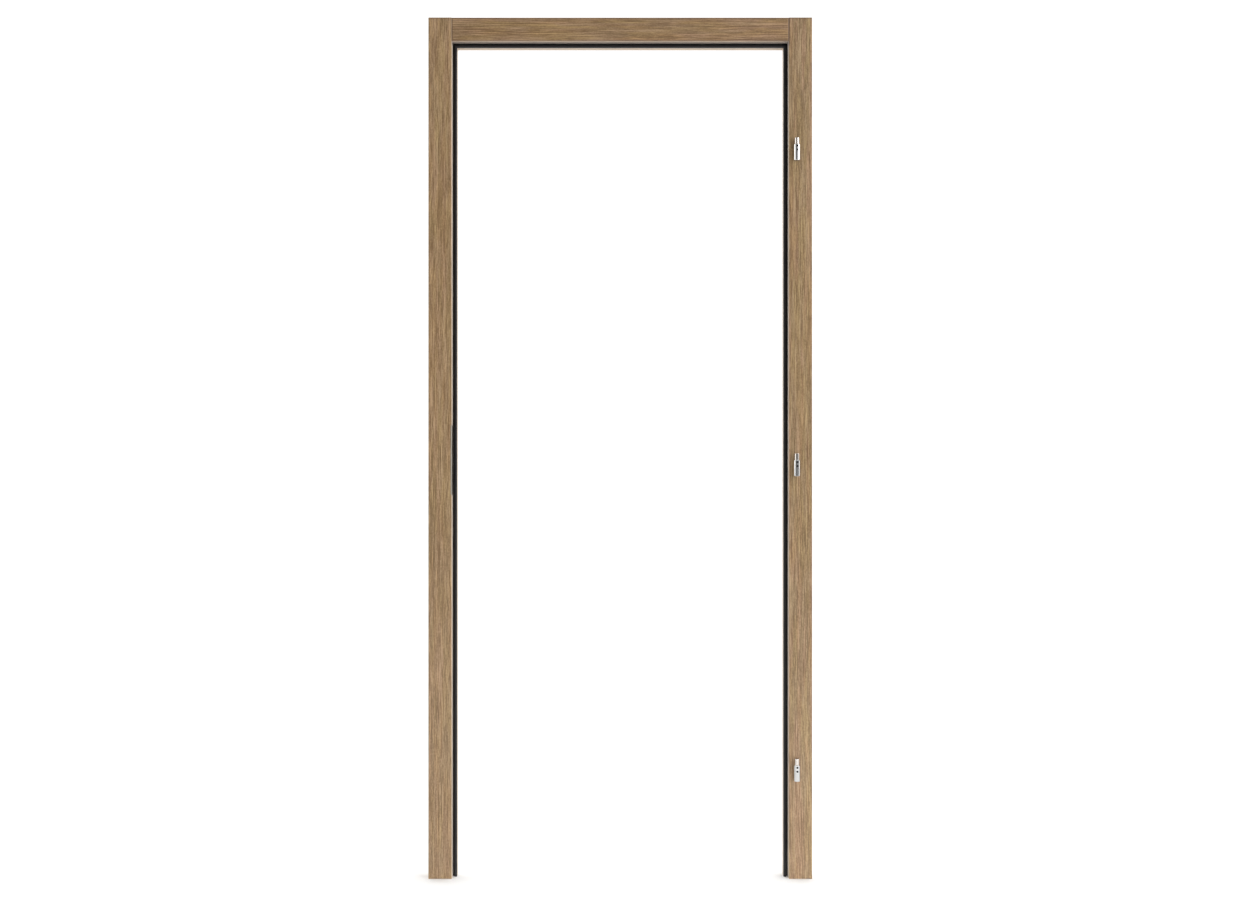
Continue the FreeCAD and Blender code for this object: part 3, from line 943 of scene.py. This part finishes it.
def wood_screw(base, axis, length, diameter, head, pitch, threaded):
    """Countersunk wood screw with a cross recess, its thread over part of its length."""
    shaft_r = diameter / 2
    head_r = head / 2
    cone = head_r - shaft_r
    outline = [(0, head_r), (cone, shaft_r), (length - diameter, shaft_r), (length, SCREW_POINT_RADIUS)]
    bm = bmesh.new()
    thread = Thread(length * (1 - threaded), length, pitch, diameter * 0.17)
    rim, tip = threaded_rod(bm, outline, thread, 28)
    sunk_recess(bm, rim, cross_outline(head * 0.58), head * 0.28, 0.55)
    bm.faces.new(tip)
    put(bm, base, axis)
    return bm


def machine_shank(base, axis, length, diameter, pitch):
    """Threaded shank of a hinge: a short plain neck, a coarse wood thread and a blunt point."""
    radius = diameter / 2
    outline = [(0, radius), (length - SHANK_POINT, radius), (length, radius * 0.4)]
    bm = bmesh.new()
    first, last = threaded_rod(bm, outline, Thread(SHANK_NECK, length, pitch, diameter * 0.13), 36)
    bm.faces.new(first)
    bm.faces.new(last)
    put(bm, base, axis)
    return bm


def grub_screw(base, axis, length, diameter, pitch):
    """Socket grub screw with a dog point."""
    radius = diameter / 2
    point_radius = GRUB_POINT_DIAMETER / 2
    thread_end = length - GRUB_POINT_LENGTH
    outline = [
        (0, radius - GRUB_CHAMFER),
        (GRUB_CHAMFER, radius),
        (thread_end, radius),
        (thread_end + 0.02 * MM, point_radius),
        (length, point_radius),
    ]
    bm = bmesh.new()
    rim, tip = threaded_rod(bm, outline, Thread(GRUB_CHAMFER, thread_end, pitch, pitch * 0.5), 36)
    sunk_recess(bm, rim, hexagon_outline(diameter / 2), GRUB_SOCKET_DEPTH, 1.0)
    bm.faces.new(tip)
    put(bm, base, axis)
    return bm


def fluted_dowel(base, axis, length, diameter, flutes):
    """Beech dowel with chamfered ends and pressed flutes that let the glue out."""
    radius = diameter / 2
    end_radius = radius - DOWEL_CHAMFER
    bm = bmesh.new()

    def radius_at(body):
        return lambda turn: body - FLUTE_DEPTH * (0.5 + 0.5 * math.cos(math.tau * turn * flutes)) ** 3

    outline = [
        (0, end_radius),
        (DOWEL_CHAMFER, radius),
        (length - DOWEL_CHAMFER, radius),
        (length, end_radius),
    ]
    rings = [ring(bm, height, radius_at(body), flutes * 6) for height, body in outline]
    skin(bm, rings)
    bm.faces.new(rings[0])
    bm.faces.new(rings[-1])
    put(bm, base, axis)
    return bm


def rows_of(low, high, radius):
    """Heights of the first and last of a node's like pieces, from its box and their radius."""
    return low.z + radius, high.z - radius


# Operators


class DOORFRAME_OT_members(bpy.types.Operator):
    """Wrap the jambs and the head in oak foil, each with its own stretch of the pattern"""

    bl_idname = "door_frame.members"
    bl_label = "Jambs and Head"

    def execute(self, context):
        look = context.scene.door_frame_oak
        for member in MEMBERS:
            dress([member], oak_foil(member, look))
        return {"FINISHED"}


class DOORFRAME_OT_seals(bpy.types.Operator):
    """Give the three seals their black rubber"""

    bl_idname = "door_frame.seals"
    bl_label = "Seals"

    def execute(self, context):
        dress(SEALS, seal_rubber(context.scene.door_frame_seal))
        return {"FINISHED"}


class DOORFRAME_OT_hinges(bpy.types.Operator):
    """Plate the barrels and pins of the hinges"""

    bl_idname = "door_frame.hinges"
    bl_label = "Hinge Barrels and Pins"

    def execute(self, context):
        look = context.scene.door_frame_metal
        dress([hinge + "_body" for hinge in HINGES], bright_nickel("bright_nickel_barrel", look.nickel))
        dress([hinge + "_pin" for hinge in HINGES], bright_nickel("bright_nickel_pin", look.pin))
        return {"FINISHED"}


class DOORFRAME_OT_shanks(bpy.types.Operator):
    """Cut the threads of the hinge shanks"""

    bl_idname = "door_frame.shanks"
    bl_label = "Hinge Shanks"

    def execute(self, context):
        scene = context.scene
        material = zinc_plate("shank_zinc", scene.door_frame_metal.zinc, 0.3)
        pitch = scene.door_frame_fasteners.shank_pitch
        for hinge in HINGES:
            node = hinge + "_shanks"
            low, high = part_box(node)
            diameter = high.x - low.x
            middle = (low.x + high.x) / 2
            forms = []
            for height in rows_of(low, high, diameter / 2):
                base = Vector((middle, low.y, height))
                forms.append(machine_shank(base, AXES["Y"], high.y - low.y, diameter, pitch))
            make_piece(hinge + "_threaded_shanks", gather(forms), material, node)
        return {"FINISHED"}


class DOORFRAME_OT_grub_screws(bpy.types.Operator):
    """Make the grub screws that lock the hinge pins"""

    bl_idname = "door_frame.grub_screws"
    bl_label = "Grub Screws"

    def execute(self, context):
        scene = context.scene
        material = black_steel(scene.door_frame_metal)
        pitch = scene.door_frame_fasteners.grub_pitch
        for hinge in HINGES:
            node = hinge + "_grub_screws"
            low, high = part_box(node)
            diameter = high.x - low.x
            middle = (low.x + high.x) / 2
            length = high.y - low.y
            forms = []
            for height in rows_of(low, high, diameter / 2):
                base = Vector((middle, low.y, height))
                forms.append(grub_screw(base, AXES["Y"], length, diameter, pitch))
            make_piece(hinge + "_socket_screws", gather(forms), material, node)
        return {"FINISHED"}


class DOORFRAME_OT_strike(bpy.types.Operator):
    """Finish the strike plate and the cups behind it"""

    bl_idname = "door_frame.strike"
    bl_label = "Strike Plate and Cups"

    def execute(self, context):
        dress(["strike_plate"], strike_steel(context.scene.door_frame_metal))
        dress(CUPS, cup_plastic())
        return {"FINISHED"}


class DOORFRAME_OT_screws(bpy.types.Operator):
    """Make the screws of the strike plate and of the corners"""

    bl_idname = "door_frame.screws"
    bl_label = "Wood Screws"

    def execute(self, context):
        scene = context.scene
        material = zinc_plate("screw_zinc", scene.door_frame_metal.zinc, 0.26)
        pitches = scene.door_frame_fasteners
        low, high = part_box("strike_screws")
        head = high.y - low.y
        first, last = rows_of(low, high, head / 2)
        forms = []
        for height in (first, (first + last) / 2, last):
            base = Vector((high.x, (low.y + high.y) / 2, height))
            sizes = (high.x - low.x, head / 2, head)
            forms.append(wood_screw(base, -AXES["X"], *sizes, pitches.strike_pitch, 0.72))
        make_piece("strike_wood_screws", gather(forms), material, "strike_screws")
        low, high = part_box("corner_screws")
        head = high.y - low.y
        forms = []
        for height in rows_of(low, high, head / 2):
            for side in (-1, 1):
                base = Vector((side * high.x, (low.y + high.y) / 2, height))
                sizes = (CORNER_SCREW_LENGTH, CORNER_SCREW_DIAMETER, head)
                forms.append(wood_screw(base, AXES["X"] * -side, *sizes, pitches.corner_pitch, 0.6))
        make_piece("corner_wood_screws", gather(forms), material, "corner_screws")
        return {"FINISHED"}


class DOORFRAME_OT_dowels(bpy.types.Operator):
    """Turn the fluted dowels of the corners"""

    bl_idname = "door_frame.dowels"
    bl_label = "Corner Dowels"

    def execute(self, context):
        flutes = context.scene.door_frame_fasteners.flutes
        low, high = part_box("corner_dowels")
        diameter = high.y - low.y
        forms = []
        for height in rows_of(low, high, diameter / 2):
            for start in (low.x, high.x - DOWEL_LENGTH):
                base = Vector((start, (low.y + high.y) / 2, height))
                forms.append(fluted_dowel(base, AXES["X"], DOWEL_LENGTH, diameter, flutes))
        make_piece("corner_fluted_dowels", gather(forms), beech_wood(), "corner_dowels")
        return {"FINISHED"}


class DOORFRAME_OT_stage(bpy.types.Operator):
    """Set up the floor, the white surroundings, the lights and the camera"""

    bl_idname = "door_frame.stage"
    bl_label = "Studio"

    def execute(self, context):
        studio = context.scene.door_frame_studio
        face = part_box("jamb_latch_side")[0].y
        add_floor(studio)
        add_surround(context.scene, studio)
        for name, softbox in SOFTBOXES.items():
            add_softbox(name, softbox, face, getattr(studio, softbox.power))
        add_top_light(studio.top)
        add_camera(context.scene, studio, face)
        context.scene.view_settings.view_transform = "Standard"
        return {"FINISHED"}


def add_floor(studio):
    """Pale matt floor that runs on to the horizon, with shade painted into its colour well in front of the
    frame.
    """
    bm = bmesh.new()
    bmesh.ops.create_grid(bm, x_segments=1, y_segments=1, size=FLOOR_REACH)
    mesh = bpy.data.meshes.new("floor")
    bm.to_mesh(mesh)
    bm.free()
    finish = Finish("floor_pale")
    place = finish.place()
    cloud = finish.noise(place, 1.5, 3.0)
    in_front = 0 - finish.split(place)[1]
    # Painted shade: the floor's colour darkens from well in front of the frame to behind the camera, and the
    # hinges reflect it
    away = finish.step(in_front, 0.6 * studio.distance, 3.4 * studio.distance)
    tone = finish.shaded(studio.floor_tint, (0.99 + cloud * 0.02) * (1 - away * studio.painted_floor_shade))
    mesh.materials.append(finish.surface(Base_Color=tone, Roughness=0.9))
    floor = bpy.data.objects.new("floor", mesh)
    bpy.context.scene.collection.objects.link(floor)


def add_surround(scene, studio):
    """White walls, brightest beside the frame and behind it, dim overhead and dark behind the camera."""
    scene.world = bpy.data.worlds.new("white_surround")
    scene.world.use_nodes = True
    sky = Nodes(scene.world.node_tree)
    # From here to the walls, all are shares from 0 to 1, by the direction looked in from the frame
    x, y, z = sky.split(sky.add("ShaderNodeTexCoord", output="Generated"))
    rear = sky.step(y, -0.15, 0.05)
    backdrop = sky.step(y, 0.80, 0.93)
    lift = sky.step(z, 0.04, 0.15)
    room = 1 - sky.step(abs(x + 0.3 - lift * 0.12), 0.47, 0.62)
    overhead = sky.step(z, 0.35, 0.85)
    side = sky.step(x, -0.3, 0.3)
    above = sky.step(z - side * 0.4, 0.12, 0.45)
    right = studio.right * (studio.horizon + lift * (1 - studio.horizon))
    walls = (studio.left * (1 - side) + right * side) * (1 - above * 0.8)
    walls = walls * (1 - room) + room * studio.room
    level = walls * (1 - rear) + rear * studio.rim
    level = level * (1 - backdrop) + backdrop * studio.backdrop
    strength = level * (1 - overhead * (1 - studio.overhead))
    light = sky.add("ShaderNodeBackground", None, {"Color": (1.0, 1.0, 1.0, 1.0), "Strength": strength})
    sky.add("ShaderNodeOutputWorld", None, {"Surface": light}, None)


def add_softbox(name, softbox, face, power):
    """Soft rectangular light, turned towards its target."""
    light = bpy.data.lights.new(name, "AREA")
    light.shape = "RECTANGLE"
    light.size, light.size_y = softbox.size
    light.energy = power
    light.spread = math.radians(softbox.spread)
    lamp = bpy.data.objects.new(name, light)
    place, target = Vector(softbox.place), Vector(softbox.target)
    lamp.location = place + Vector((0.0, face, 0.0))
    lamp.rotation_euler = (target - place).to_track_quat("-Z", "Y").to_euler()
    lamp.visible_camera = False
    bpy.context.scene.collection.objects.link(lamp)


def add_top_light(strength):
    """Even light from above, as soft as that of a lit ceiling, which keeps the floor white to the horizon."""
    light = bpy.data.lights.new("top_wide", "SUN")
    light.energy = strength
    light.angle = math.radians(70)
    lamp = bpy.data.objects.new("top_wide", light)
    bpy.context.scene.collection.objects.link(lamp)


def add_camera(scene, studio, face):
    """Level camera in front of the frame, as wide as the view is at the front face."""
    camera = bpy.data.cameras.new("camera")
    camera.sensor_width = 36.0
    camera.lens = camera.sensor_width * studio.distance / studio.view_width
    camera.clip_end = 200.0
    stand = bpy.data.objects.new("camera", camera)
    stand.location = (studio.sideways, face - studio.distance, studio.height)
    stand.rotation_euler = (math.pi / 2, 0, 0)
    scene.collection.objects.link(stand)
    scene.camera = stand


OPERATORS = (
    DOORFRAME_OT_members,
    DOORFRAME_OT_seals,
    DOORFRAME_OT_hinges,
    DOORFRAME_OT_shanks,
    DOORFRAME_OT_grub_screws,
    DOORFRAME_OT_strike,
    DOORFRAME_OT_screws,
    DOORFRAME_OT_dowels,
    DOORFRAME_OT_stage,
)

SETTINGS = {
    "door_frame_oak": DoorFrameOak,
    "door_frame_seal": DoorFrameSeal,
    "door_frame_metal": DoorFrameMetal,
    "door_frame_fasteners": DoorFrameFasteners,
    "door_frame_studio": DoorFrameStudio,
}


class DOORFRAME_PT_panel(bpy.types.Panel):
    """Settings and steps of the door frame"""

    bl_label = "Door Frame"
    bl_idname = "DOORFRAME_PT_panel"
    bl_space_type = "VIEW_3D"
    bl_region_type = "UI"
    bl_category = "Door Frame"

    def draw(self, context):
        for setting in SETTINGS:
            box = self.layout.box()
            group = getattr(context.scene, setting)
            box.label(text=setting.removeprefix("door_frame_").capitalize())
            for name in group.__annotations__:
                box.prop(group, name)
        for operator in OPERATORS:
            self.layout.operator(operator.bl_idname)


def register():
    for group in SETTINGS.values():
        bpy.utils.register_class(group)
    for setting, group in SETTINGS.items():
        setattr(bpy.types.Scene, setting, PointerProperty(type=group))
    for operator in OPERATORS:
        bpy.utils.register_class(operator)
    bpy.utils.register_class(DOORFRAME_PT_panel)


def unregister():
    bpy.utils.unregister_class(DOORFRAME_PT_panel)
    for operator in reversed(OPERATORS):
        bpy.utils.unregister_class(operator)
    for setting, group in SETTINGS.items():
        delattr(bpy.types.Scene, setting)
        bpy.utils.unregister_class(group)


def main():
    register()
    bpy.ops.door_frame.members()
    bpy.ops.door_frame.seals()
    bpy.ops.door_frame.hinges()
    bpy.ops.door_frame.shanks()
    bpy.ops.door_frame.grub_screws()
    bpy.ops.door_frame.strike()
    bpy.ops.door_frame.screws()
    bpy.ops.door_frame.dowels()
    bpy.ops.door_frame.stage()


if __name__ == "__main__":
    main()
